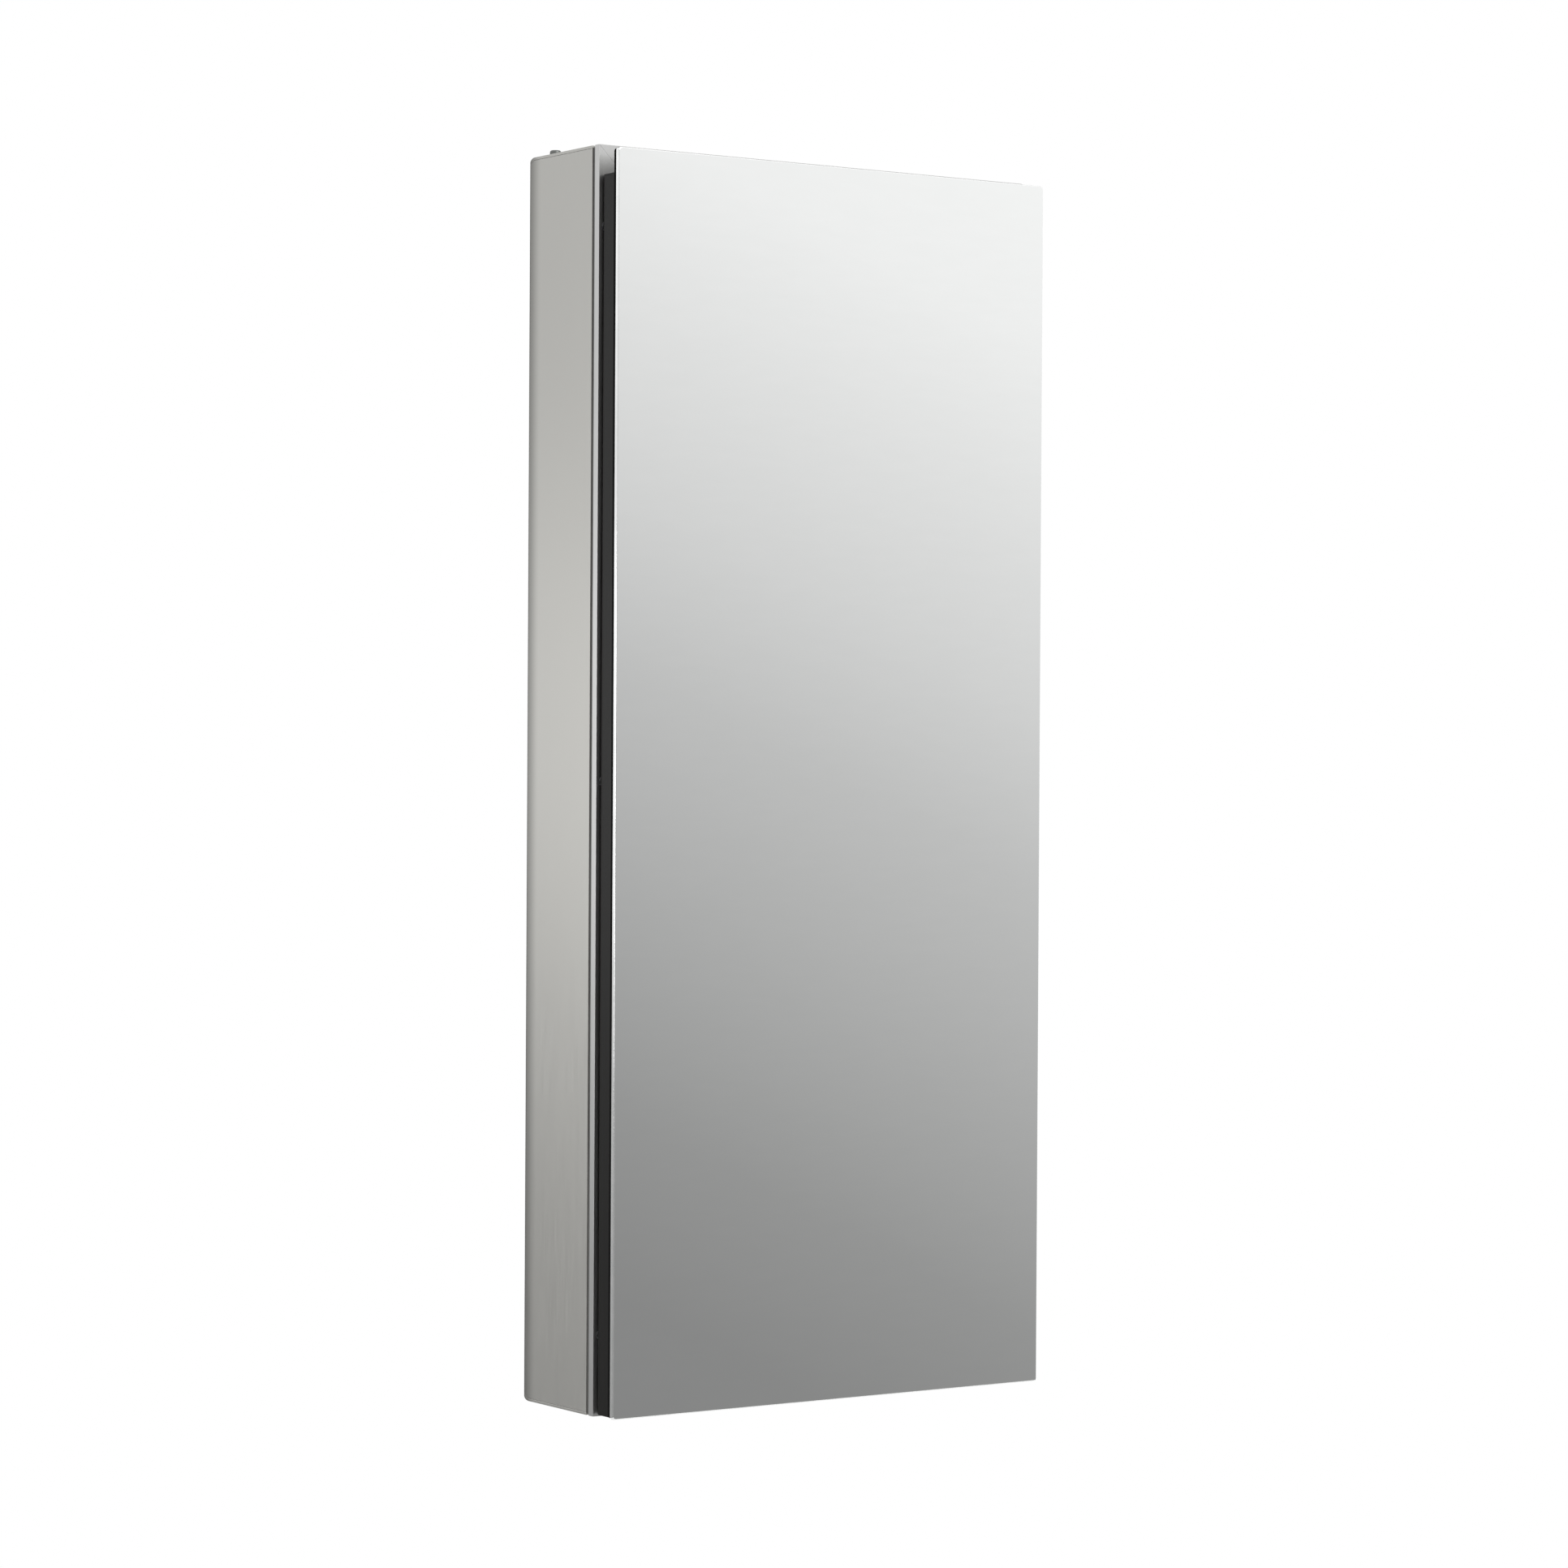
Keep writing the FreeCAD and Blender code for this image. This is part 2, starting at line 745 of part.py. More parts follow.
# ---------------------------------------------------------------- pivots
def pivot_bracket(label, end):
    """A flat arm screwed inside the case that reaches forward to the pivot axis."""
    sheet_arm = cell("bracket_sheet")
    low = inner_half_height - sheet_arm if end > 0 else -inner_half_height
    right = inner_half_width - cell("bracket_wall_play")
    nose = cell("bracket_nose")
    front = pivot_y - nose
    neck_left = right - cell("bracket_neck_width")
    base_left = right - cell("bracket_base_width")
    corner = cell("bracket_corner")
    nose_bend = cell("bracket_nose_bend")
    body = new_part(label)
    plan = new_sketch(body, "XY_Plane")
    outline(plan, [
        (base_left, -cell("bracket_base_back"), corner),
        (right, -cell("bracket_base_back"), corner),
        (right, pivot_y + nose),
        (pivot_x + nose, pivot_y + nose, nose_bend),
        (pivot_x + nose, front, nose_bend),
        (neck_left, front, cell("bracket_neck_bend")),
        (neck_left, -cell("bracket_base_front")),
        (base_left, -cell("bracket_base_front"), corner),
    ])
    circle(plan, (pivot_x, pivot_y), cell("pin_bore_radius") if end > 0 else cell("pin_radius"))
    for centre in bracket_screw_centres():
        circle(plan, centre, cell("screw_radius"))
    pad(body, plan, sheet_arm)
    place(body, 0, 0, low)


def bracket_screw_centres():
    middle = inner_half_width - cell("bracket_wall_play") - cell("bracket_base_width") / 2
    inset = cell("bracket_screw_inset")
    return [(middle, -cell("bracket_base_back") - inset), (middle, -cell("bracket_base_front") + inset)]


def bracket_screws():
    """Screws up and down through the brackets into the top and bottom walls."""
    body = new_part("bracket_screws")
    for end in (-1, 1):
        screws_on(body, end * (inner_half_height - cell("bracket_sheet")), bracket_screw_centres(),
                  (cell("screw_head_radius"), cell("screw_head_tall")),
                  (cell("screw_radius"), cell("bracket_sheet")), end > 0)


def pin_barrel():
    """The cup over the top bracket that holds the spring down."""
    room = cell("bracket_play") + cell("collar_tall") + cell("spring_room")
    turned("pin_barrel", [
        (cell("barrel_bore"), 0),
        (cell("barrel_radius"), 0),
        (cell("barrel_radius"), room + cell("barrel_cap")),
        (cell("pin_bore_radius"), room + cell("barrel_cap")),
        (cell("pin_bore_radius"), room),
        (cell("barrel_bore"), room),
    ], pivot_x, pivot_y, inner_half_height)


def top_pivot_pin():
    """The sprung pin: a tip in the door's bush, a collar under the spring and a knob."""
    play = cell("bracket_play")
    collar_low = play
    collar_high = play + cell("collar_tall")
    knob_low = collar_high + cell("spring_room") + cell("barrel_cap") + play
    tip = -(cell("bracket_sheet") + play + cell("pin_engagement"))
    turned("top_pivot_pin", [
        (0, tip),
        (cell("pin_radius"), tip),
        (cell("pin_radius"), collar_low),
        (cell("collar_radius"), collar_low),
        (cell("collar_radius"), collar_high),
        (cell("pin_radius"), collar_high),
        (cell("pin_radius"), knob_low),
        (cell("knob_radius"), knob_low),
        (cell("knob_radius"), knob_low + cell("knob_tall")),
        (0, knob_low + cell("knob_tall")),
    ], pivot_x, pivot_y, inner_half_height)


def pivot_spring():
    """A small coil spring between the pin's collar and the barrel's cap."""
    wire = DRIVING_SIZES["spring_wire"] / 2
    radius = DRIVING_SIZES["spring_radius"]
    room = DRIVING_SIZES["spring_room"] - 2 * wire - 2 * DRIVING_SIZES["spring_play"]
    helix = Part.makeHelix(room / DRIVING_SIZES["spring_coils"], room, radius)
    wire_end = Part.Circle(FreeCAD.Vector(radius, 0, 0), FreeCAD.Vector(0, 1, 0), wire)
    section = Part.Wire([wire_end.toShape()])
    spring = doc.addObject("Part::Feature", "pivot_spring")
    spring.Label = "pivot_spring"
    spring.Shape = Part.Wire(helix.Edges).makePipeShell([section], True, True)
    parts.append(spring)
    base = cell("bracket_play") + cell("collar_tall") + cell("spring_wire") / 2 + cell("spring_play")
    place(spring, pivot_x, pivot_y, inner_half_height + base)


def bottom_pivot_pin():
    """The fixed pin, riveted up through the bottom bracket."""
    tip = cell("bracket_sheet") + cell("bracket_play") + cell("pin_engagement") + cell("fixed_pin_extra")
    turned("bottom_pivot_pin", [
        (0, -cell("rivet_tall")),
        (cell("rivet_radius"), -cell("rivet_tall")),
        (cell("rivet_radius"), 0),
        (cell("pin_radius"), 0),
        (cell("pin_radius"), tip),
        (0, tip),
    ], pivot_x, pivot_y, -inner_half_height)


def pivot_bush(label, end):
    """A flanged nylon bush in the door frame's end."""
    flange = inner_half_height - cell("bracket_sheet") - cell("bracket_play") - frame_half_height
    turned(label, [
        (cell("pin_bore_radius"), -end * cell("bush_depth")),
        (cell("bush_radius"), -end * cell("bush_depth")),
        (cell("bush_radius"), size(0)),
        (cell("bush_flange_radius"), size(0)),
        (cell("bush_flange_radius"), end * flange),
        (cell("pin_bore_radius"), end * flange),
    ], pivot_x, pivot_y, end * frame_half_height)


def pivots():
    for name, end in ENDS:
        pivot_bracket(f"pivot_bracket_{name}", end)
        pivot_bush(f"pivot_bush_{name}", end)
    bracket_screws()
    pin_barrel()
    top_pivot_pin()
    pivot_spring()
    bottom_pivot_pin()


# ---------------------------------------------------------------- door
def door_sheet(label, front, rear, inset):
    """A sheet the size of the mirror, smaller by inset at every edge."""
    return block(label, (-half_width + inset, half_width - inset), (front, rear),
                 (-half_height + cell("glass_bottom_inset") + inset,
                  half_height - cell("glass_top_inset") - inset))


def front_mirror():
    """The large mirror, with a small polished chamfer round its front."""
    body = door_sheet("front_mirror", mirror_front, mirror_rear, size(0))
    glass = body.Tip
    front = [f"Face{number}" for number, face in enumerate(glass.Shape.Faces, start=1)
             if face.CenterOfMass.y < TINY]
    chamfer = body.newObject("PartDesign::Chamfer", "front_mirror_edge")
    chamfer.Base = (glass, front)
    chamfer.setExpression("Size", cell("glass_chamfer").text)
    doc.recompute()


def frame_section(deep):
    """Section of a door frame channel, with x running inwards from its outer face."""
    return [
        (0, frame_front, cell("frame_front_bend")),
        (deep, frame_front),
        (deep, frame_front + frame_sheet),
        (frame_sheet, frame_front + frame_sheet),
        (frame_sheet, door_rear - frame_sheet, cell("frame_rear_bend") - frame_sheet),
        (deep, door_rear - frame_sheet),
        (deep, door_rear),
        (0, door_rear, cell("frame_rear_bend")),
    ]


def door_stile(label, x, low, turn_about_y):
    """An upright of the door frame, from its lower end up to the top rail."""
    body = new_part(label)
    section = new_sketch(body, "XY_Plane", low)
    outline(section, frame_section(cell("frame_width")))
    pad(body, section, stile_top - low)
    place(body, x, 0, 0, turn_about_y)


def stile_plug():
    """The plug in the open lower end of the left stile."""
    body = new_part("stile_plug")
    plan = new_sketch(body, "XY_Plane", left_stile_foot)
    outline(plan, [
        (frame_sheet, frame_front + frame_sheet),
        (cell("frame_width"), frame_front + frame_sheet),
        (cell("frame_width"), door_rear - frame_sheet),
        (frame_sheet, door_rear - frame_sheet, cell("frame_rear_bend") - frame_sheet),
    ])
    pad(body, plan, cell("plug_tall"))
    place(body, -frame_half_width, 0, 0)


def door_rail(label, end):
    """The door frame's top or bottom channel, notched over the stiles that end at it."""
    outer = end * frame_half_height
    inner = outer - end * frame_sheet
    lip = outer - end * cell("frame_width")
    body = new_part(label)
    section = new_sketch(body, "YZ_Plane")
    outline(section, [
        (frame_front, outer),
        (door_rear, outer),
        (door_rear, lip),
        (door_rear - frame_sheet, lip),
        (door_rear - frame_sheet, inner),
        (frame_front + frame_sheet, inner),
        (frame_front + frame_sheet, lip),
        (frame_front, lip),
    ])
    pad(body, section, 2 * frame_half_width, midplane=True)
    round_rear_corners(body, frame_half_width, door_rear, cell("frame_rear_bend"))
    for side in (-1, 1):
        notch = new_sketch(body, "XZ_Plane")
        near = side * (frame_half_width - cell("frame_width"))
        far = side * (frame_half_width + clear)
        stile_passes = end < 0 and side < 0
        start = outer + end * clear if stile_passes else inner
        rectangle(notch, (near, far), (start, lip - end * clear))
        cut(body, notch)
    holes = new_sketch(body, "XY_Plane")
    circle(holes, (pivot_x, pivot_y), cell("bush_radius"))
    for centre in door_screw_centres(end):
        circle(holes, centre, cell("screw_radius"))
    cut(body, holes)


def door_screw_centres(end):
    """Where the rail's screws go: clear of the left stile at the bottom, where it passes the rail."""
    y = (frame_front + door_rear) / 2
    reach = frame_half_width - cell("door_screw_side")
    left = frame_half_width - cell("frame_width") - cell("door_screw_side") / 2 if end < 0 else reach
    return [(-left, y), (reach, y)]


def door_core_board():
    """The stiff board inside the door frame, bored for the bushes and the corner screws."""
    half_board = frame_half_width - frame_sheet
    front = frame_front + frame_sheet
    rear = door_rear - frame_sheet - cell("mirror_sheet")
    top = frame_half_height - frame_sheet
    body = block("door_core_board", (-half_board, half_board), (front, rear), (-top, top))
    for end in (-1, 1):
        for centres, radius, depth in (
                ([(pivot_x, pivot_y)], cell("bush_radius"), cell("bush_depth") - frame_sheet),
                (door_screw_centres(end), cell("screw_radius"), cell("screw_length") - frame_sheet)):
            plan = new_sketch(body, "XY_Plane", 2 * top if end > 0 else 0)
            for x, y in centres:
                circle(plan, (x + half_board, y - front), radius)
            cut(body, plan, depth, reverse=end < 0)


def inner_door_mirror():
    edge = frame_half_width - frame_sheet - cell("inner_mirror_play")
    top = frame_half_height - frame_sheet - cell("inner_mirror_play")
    rear = door_rear - frame_sheet
    block("inner_door_mirror", (-edge, edge), (rear - cell("mirror_sheet"), rear), (-top, top))


def mounting_tape():
    """Four upright strips of foam tape, evenly spaced, that hold the mirror's backing to the core board."""
    body = new_part("mounting_tape")
    reach = frame_half_width - cell("frame_width")
    top = frame_half_height - cell("frame_width")
    plan = new_sketch(body, "XZ_Plane")
    for step in (-3, -1, 1, 3):
        middle = step * reach / 4
        rectangle(plan, (middle - cell("tape_width") / 2, middle + cell("tape_width") / 2), (-top, top))
    pad(body, plan, frame_sheet)
    place(body, 0, frame_front + frame_sheet, 0)


def door_screws():
    """Screws down and up through the rails into the core board."""
    body = new_part("door_screws")
    for end in (-1, 1):
        screws_on(body, end * frame_half_height, door_screw_centres(end),
                  (cell("screw_head_radius"), cell("screw_head_tall")),
                  (cell("screw_radius"), cell("screw_length")), end < 0)


def door_bumpers():
    """Three soft dots on the left flange that the door closes against."""
    body = new_part("door_bumpers")
    plan = new_sketch(body, "XZ_Plane")
    x = -half_width + cell("flange_width") / 2
    for level in (-1, 0, 1):
        circle(plan, (x, level * cell("bumper_pitch")), cell("bumper_radius"))
    pad(body, plan, cell("bumper_tall"))
    place(body, 0, flange_face, 0)


def door():
    front_mirror()
    door_sheet("mirror_backing", mirror_rear, frame_front, cell("backing_inset"))
    door_stile("door_stile_left", -frame_half_width, left_stile_foot, 0)
    door_stile("door_stile_right", frame_half_width, -stile_top, 180)
    stile_plug()
    for name, end in ENDS:
        door_rail(f"door_rail_{name}", end)
    door_core_board()
    inner_door_mirror()
    mounting_tape()
    door_screws()
    door_bumpers()


# ---------------------------------------------------------------- magnetic catch
def magnetic_catch():
    """A housed magnet under the top wall, and the steel plate on the door it holds."""
    left = -half_width + cell("catch_from_left")
    front = flange_face + cell("catch_front_inset")
    top = inner_half_height
    bottom = top - cell("catch_tall")
    magnet_low = bottom + cell("magnet_rise")
    magnet_high = magnet_low + cell("magnet_tall")
    middle = left + cell("catch_width") / 2
    span = (middle - cell("magnet_width") / 2, middle + cell("magnet_width") / 2)
    rear = front + cell("magnet_deep")
    housing = block("catch_housing", (left, left + cell("catch_width")),
                    (front, front + cell("catch_deep")), (bottom, top))
    pocket = new_sketch(housing, "XZ_Plane")
    rectangle(pocket, (span[0] - left, span[1] - left),
              (magnet_low - cell("pole_sheet") - bottom, magnet_high + cell("pole_sheet") - bottom))
    cut(housing, pocket, cell("magnet_deep"))
    block("catch_magnet", span, (front, rear), (magnet_low, magnet_high))
    for name, low in (("lower", magnet_low - cell("pole_sheet")), ("upper", magnet_high)):
        block(f"catch_pole_{name}", span, (front - cell("pole_proud"), rear),
              (low, low + cell("pole_sheet")))
    strike_top = frame_half_height - cell("strike_top_inset")
    block("strike_plate",
          (middle - cell("strike_width") / 2, middle + cell("strike_width") / 2),
          (door_rear, door_rear + cell("strike_sheet")),
          (strike_top - cell("strike_tall"), strike_top))


case_walls()
corner_keys()
back_panel()
back_mirror()
surface_kit()
shelves()
pivots()
door()
magnetic_catch()

doc.recompute()
for item in doc.Objects:
    if "Invalid" in item.State or "Error" in item.State:
        raise RuntimeError(f"{item.Label} failed: {item.State}")
for part in parts:
    if part.Shape.isNull() or not part.Shape.isValid() or not part.Shape.Solids:
        raise RuntimeError(f"{part.Label} has no valid solid")

os.makedirs("parts", exist_ok=True)
for part in parts:
    part.Shape.exportStep(f"parts/{part.Label}.step")
    print(part.Label, len(part.Shape.Solids), round(part.Shape.Volume, 1))
print(len(parts), "parts")
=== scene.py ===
import json
import math

import bmesh
import bpy
from mathutils import Matrix, Vector

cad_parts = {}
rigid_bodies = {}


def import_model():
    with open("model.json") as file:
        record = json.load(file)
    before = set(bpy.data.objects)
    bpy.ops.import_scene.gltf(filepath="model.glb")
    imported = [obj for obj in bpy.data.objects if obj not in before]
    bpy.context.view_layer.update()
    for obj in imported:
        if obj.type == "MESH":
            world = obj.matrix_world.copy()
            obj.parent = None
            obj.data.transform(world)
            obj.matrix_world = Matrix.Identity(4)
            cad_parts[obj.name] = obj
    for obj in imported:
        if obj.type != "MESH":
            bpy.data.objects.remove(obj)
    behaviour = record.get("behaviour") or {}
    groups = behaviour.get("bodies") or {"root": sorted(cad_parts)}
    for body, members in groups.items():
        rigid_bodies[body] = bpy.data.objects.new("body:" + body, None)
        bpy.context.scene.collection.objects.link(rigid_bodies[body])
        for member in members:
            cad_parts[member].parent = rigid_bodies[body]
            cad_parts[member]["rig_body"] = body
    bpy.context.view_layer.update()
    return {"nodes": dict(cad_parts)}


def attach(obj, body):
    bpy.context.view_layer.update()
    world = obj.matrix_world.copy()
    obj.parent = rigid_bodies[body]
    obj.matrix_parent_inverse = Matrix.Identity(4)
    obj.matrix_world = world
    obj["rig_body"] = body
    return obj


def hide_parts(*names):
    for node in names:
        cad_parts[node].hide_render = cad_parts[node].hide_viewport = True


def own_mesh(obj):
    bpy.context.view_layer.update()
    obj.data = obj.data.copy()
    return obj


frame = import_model()

MM = 0.001
Y, Z = Vector((0, 1, 0)), Vector((0, 0, 1))


def srgb(*levels):
    """The linear colour of three display levels from 0 to 255."""
    scaled = [level / 255 for level in levels]
    return tuple(((v + 0.055) / 1.055) ** 2.4 if v > 0.04045 else v / 12.92 for v in scaled)


def shaded(colour, share):
    """A colour made lighter or darker by a share of itself."""
    return tuple(min(1.0, c * (1 + share)) for c in colour)


def set_ranges(node, start, end, low, high):
    """Makes a map range node go from low to high as its input goes from start to end."""
    for socket, value in (("From Min", start), ("From Max", end), ("To Min", low), ("To Max", high)):
        node.inputs[socket].default_value = value


# ---------------------------------------------------------------- camera, light and floor

CAMERA_PLACE = Vector((-1.8777, -2.8422, 0.0229))
CAMERA_AZIMUTH = math.radians(-34.014)
CAMERA_ELEVATION = math.radians(0.433)
CAMERA_ROLL = math.radians(0.314)
CAMERA_LENS = 102.45
CAMERA_SENSOR = 36.0
CAMERA_CLIP = (0.05, 100)


def make_camera():
    back = Vector((
        math.sin(CAMERA_AZIMUTH) * math.cos(CAMERA_ELEVATION),
        -math.cos(CAMERA_AZIMUTH) * math.cos(CAMERA_ELEVATION),
        math.sin(CAMERA_ELEVATION),
    ))
    level_right = (-back).cross(Z).normalized()
    level_up = level_right.cross(-back)
    right = level_right * math.cos(CAMERA_ROLL) + level_up * math.sin(CAMERA_ROLL)
    up = level_up * math.cos(CAMERA_ROLL) - level_right * math.sin(CAMERA_ROLL)
    camera = bpy.data.objects.new("camera", bpy.data.cameras.new("camera"))
    camera.data.lens = CAMERA_LENS
    camera.data.sensor_width = CAMERA_SENSOR
    camera.data.clip_start, camera.data.clip_end = CAMERA_CLIP
    turn = Matrix((right, up, back)).transposed().to_4x4()
    camera.matrix_world = Matrix.Translation(CAMERA_PLACE) @ turn
    bpy.context.scene.collection.objects.link(camera)
    bpy.context.scene.camera = camera


# what the studio room sends from each height, as (upward part of the direction, display level)
ROOM_LEVELS = (
    (-0.40, 112), (-0.14, 141), (-0.10, 154), (-0.05, 177), (0.00, 197),
    (0.04, 217), (0.08, 232), (0.12, 247), (0.17, 255),
)
# the levels stand higher on one side of the room, so they run aslant in the mirror;
# SIDEWAYS is level, and square to the way the mirror looks back into the room
SIDEWAYS = (0.829, 0.559, 0.0)
SIDEWAYS_RISE = (-0.1, 0.1, -0.05, 0.05)
# the room is dim behind, which draws the object's far edges
BEHIND = (0.34, 0.94, 0.0)
BEHIND_FADE = (0.72, 0.92, 1, 0.1)


def make_world():
    """A studio room: dim below and behind, bright above, with a white backdrop."""
    world = bpy.data.worlds.new("studio")
    world.use_nodes = True
    nodes, links = world.node_tree.nodes, world.node_tree.links
    nodes.clear()
    direction = nodes.new("ShaderNodeTexCoord")
    height = nodes.new("ShaderNodeSeparateXYZ")
    across = nodes.new("ShaderNodeVectorMath")
    rearward = nodes.new("ShaderNodeVectorMath")
    lean = nodes.new("ShaderNodeMapRange")
    strength = nodes.new("ShaderNodeMapRange")
    raised = nodes.new("ShaderNodeMath")
    spread = nodes.new("ShaderNodeMapRange")
    ramp = nodes.new("ShaderNodeValToRGB")
    room = nodes.new("ShaderNodeBackground")
    backdrop = nodes.new("ShaderNodeBackground")
    seen = nodes.new("ShaderNodeLightPath")
    choose = nodes.new("ShaderNodeMixShader")
    out = nodes.new("ShaderNodeOutputWorld")

    for node, way in ((across, SIDEWAYS), (rearward, BEHIND)):
        node.operation = "DOT_PRODUCT"
        node.inputs[1].default_value = way
        links.new(direction.outputs["Generated"], node.inputs[0])
    lowest, highest = ROOM_LEVELS[0][0], ROOM_LEVELS[-1][0]
    set_ranges(lean, *SIDEWAYS_RISE)
    set_ranges(spread, lowest, highest, 0, 1)
    set_ranges(strength, *BEHIND_FADE)
    elements = ramp.color_ramp.elements
    while len(elements) < len(ROOM_LEVELS):
        elements.new(0.5)
    for element, (upward, level) in zip(elements, ROOM_LEVELS):
        element.position = (upward - lowest) / (highest - lowest)
        element.color = (*srgb(level, level, level), 1)
    backdrop.inputs["Color"].default_value = (1, 1, 1, 1)

    links.new(direction.outputs["Generated"], height.inputs[0])
    links.new(across.outputs["Value"], lean.inputs["Value"])
    links.new(height.outputs["Z"], raised.inputs[0])
    links.new(lean.outputs["Result"], raised.inputs[1])
    links.new(raised.outputs["Value"], spread.inputs["Value"])
    links.new(spread.outputs["Result"], ramp.inputs["Fac"])
    links.new(ramp.outputs["Color"], room.inputs["Color"])
    links.new(rearward.outputs["Value"], strength.inputs["Value"])
    links.new(strength.outputs["Result"], room.inputs["Strength"])
    links.new(seen.outputs["Is Camera Ray"], choose.inputs[0])
    links.new(room.outputs[0], choose.inputs[1])
    links.new(backdrop.outputs[0], choose.inputs[2])
    links.new(choose.outputs[0], out.inputs["Surface"])
    bpy.context.scene.world = world


# name, place, target, width, height and power of each area light
LIGHTS = (
    ("rear_side_light", (-0.95, 1.15, 0.03), (-0.19, -0.05, 0.03), 1.2, 0.45, 0.60),
    ("side_light", (-1.4, 0.5, -0.05), (-0.19, -0.05, -0.05), 0.5, 0.5, 3.7),
    ("front_light", (0.3, -2.4, 2.2), (0, 0, 0), 2.0, 1.5, 25),
)


def make_lights():
    for name, place, target, width, height, power in LIGHTS:
        light = bpy.data.lights.new(name, "AREA")
        light.shape = "RECTANGLE"
        light.size = width
        light.size_y = height
        light.energy = power
        lamp = bpy.data.objects.new(name, light)
        lamp.location = place
        lamp.rotation_mode = "QUATERNION"
        lamp.rotation_quaternion = (Vector(target) - Vector(place)).to_track_quat("-Z", "Y")
        lamp.visible_camera = False
        bpy.context.scene.collection.objects.link(lamp)


FLOOR_PLACE = (0, -0.06, -1.05)
FLOOR_HALF = 1.15


def make_floor(finish):
    grid = bmesh.new()
    bmesh.ops.create_grid(grid, x_segments=8, y_segments=8, size=FLOOR_HALF)
    mesh = bpy.data.meshes.new("floor")
    grid.to_mesh(mesh)
    grid.free()
    mesh.materials.append(finish)
    floor = bpy.data.objects.new("floor", mesh)
    floor.location = FLOOR_PLACE
    bpy.context.scene.collection.objects.link(floor)


# ---------------------------------------------------------------- finishes

# the colour sockets of a mix node share their names with its other sockets, so numbers stand for them
MIX_COLOUR_INPUTS = (6, 7)
MIX_COLOUR_OUTPUT = 2
LEAST_WEAR = 0.15


class Finish:
    """A principled material, with the nodes that vary it over the surface."""

    def __init__(self, name, **constants):
        self.material = bpy.data.materials.new(name)
        self.material.use_nodes = True
        self.tree = self.material.node_tree
        self.shader = self.tree.nodes["Principled BSDF"]
        for socket, value in constants.items():
            self.shader.inputs[socket.replace("_", " ")].default_value = value

    def add(self, kind, **settings):
        node = self.tree.nodes.new(kind)
        for key, value in settings.items():
            setattr(node, key, value)
        return node

    def join(self, start, end):
        self.tree.links.new(start, end)

    def noise(self, grains, detail=3.0, rough=0.5):
        """Noise from 0 to 1, with grains so many millimetres long along X, Y and Z."""
        place = self.add("ShaderNodeTexCoord")
        stretch = self.add("ShaderNodeMapping")
        stretch.inputs["Scale"].default_value = [1 / (grain * MM) for grain in grains]
        cloud = self.add("ShaderNodeTexNoise")
        cloud.inputs["Scale"].default_value = 1.0
        cloud.inputs["Detail"].default_value = detail
        cloud.inputs["Roughness"].default_value = rough
        self.join(place.outputs["Object"], stretch.inputs["Vector"])
        self.join(stretch.outputs["Vector"], cloud.inputs["Vector"])
        return cloud.outputs["Fac"]

    def between(self, factor, low, high, start=0.3, end=0.7):
        """A number from low to high as factor goes from start to end."""
        spread = self.add("ShaderNodeMapRange")
        set_ranges(spread, start, end, low, high)
        self.join(factor, spread.inputs["Value"])
        return spread.outputs["Result"]

    def mixed(self, factor, first, second):
        """A colour from first to second as factor goes from 0 to 1. Each may also be a socket."""
        mix = self.add("ShaderNodeMix", data_type="RGBA")
        if isinstance(factor, float):
            mix.inputs["Factor"].default_value = factor
        else:
            self.join(factor, mix.inputs["Factor"])
        for number, value in zip(MIX_COLOUR_INPUTS, (first, second)):
            if isinstance(value, tuple):
                mix.inputs[number].default_value = (*value, 1)
            else:
                self.join(value, mix.inputs[number])
        return mix.outputs[MIX_COLOUR_OUTPUT]

    def clouded(self, cloud, colour, share):
        """A colour that a noise makes darker and lighter by a share of itself."""
        return self.mixed(self.between(cloud, 0, 1), shaded(colour, -share), shaded(colour, share))

    def painted_shade_towards_rear(self, depth):
        """The mask of a painted shade: 0 from depth in front of the wall plane, rising softly to 1 at
        the wall plane.
        """
        place = self.add("ShaderNodeTexCoord")
        axes = self.add("ShaderNodeSeparateXYZ")
        rise = self.add("ShaderNodeMapRange", interpolation_type="SMOOTHSTEP")
        set_ranges(rise, -depth, 0, 0, 1)
        self.join(place.outputs["Object"], axes.inputs[0])
        self.join(axes.outputs["Y"], rise.inputs["Value"])
        return rise.outputs["Result"]

    def worn(self, breakup):
        """1 on the rounded edges, broken up by a noise, and 0 on the faces between them."""
        edge = self.add("ShaderNodeAttribute", attribute_name="worn")
        patch = self.between(breakup, LEAST_WEAR, 1.0)
        both = self.add("ShaderNodeMath", operation="MULTIPLY")
        self.join(edge.outputs["Fac"], both.inputs[0])
        self.join(patch, both.inputs[1])
        return both.outputs["Value"]

    def colour(self, socket):
        self.join(socket, self.shader.inputs["Base Color"])

    def roughness(self, socket):
        self.join(socket, self.shader.inputs["Roughness"])

    def uneven(self, cloud, roughness, share):
        """A roughness that a noise makes lower and higher by a share of itself."""
        self.roughness(self.between(cloud, roughness * (1 - share), roughness * (1 + share)))

    def bump(self, height, distance, strength=1.0):
        """Relief that is distance millimetres deep."""
        relief = self.add("ShaderNodeBump")
        relief.inputs["Strength"].default_value = strength
        relief.inputs["Distance"].default_value = distance * MM
        self.join(height, relief.inputs["Height"])
        self.join(relief.outputs["Normal"], self.shader.inputs["Normal"])


METAL_DRIFT_GRAINS = (140, 140, 140)
METAL_DRIFT_SHARE = 0.4
METAL_WEAR = 0.12
METAL_ROUGHNESS_SHARE = 0.14
# how far in front of the wall plane the painted shade at a rear bend reaches
PAINTED_REAR_SHADE_DEPTH = 19 * MM


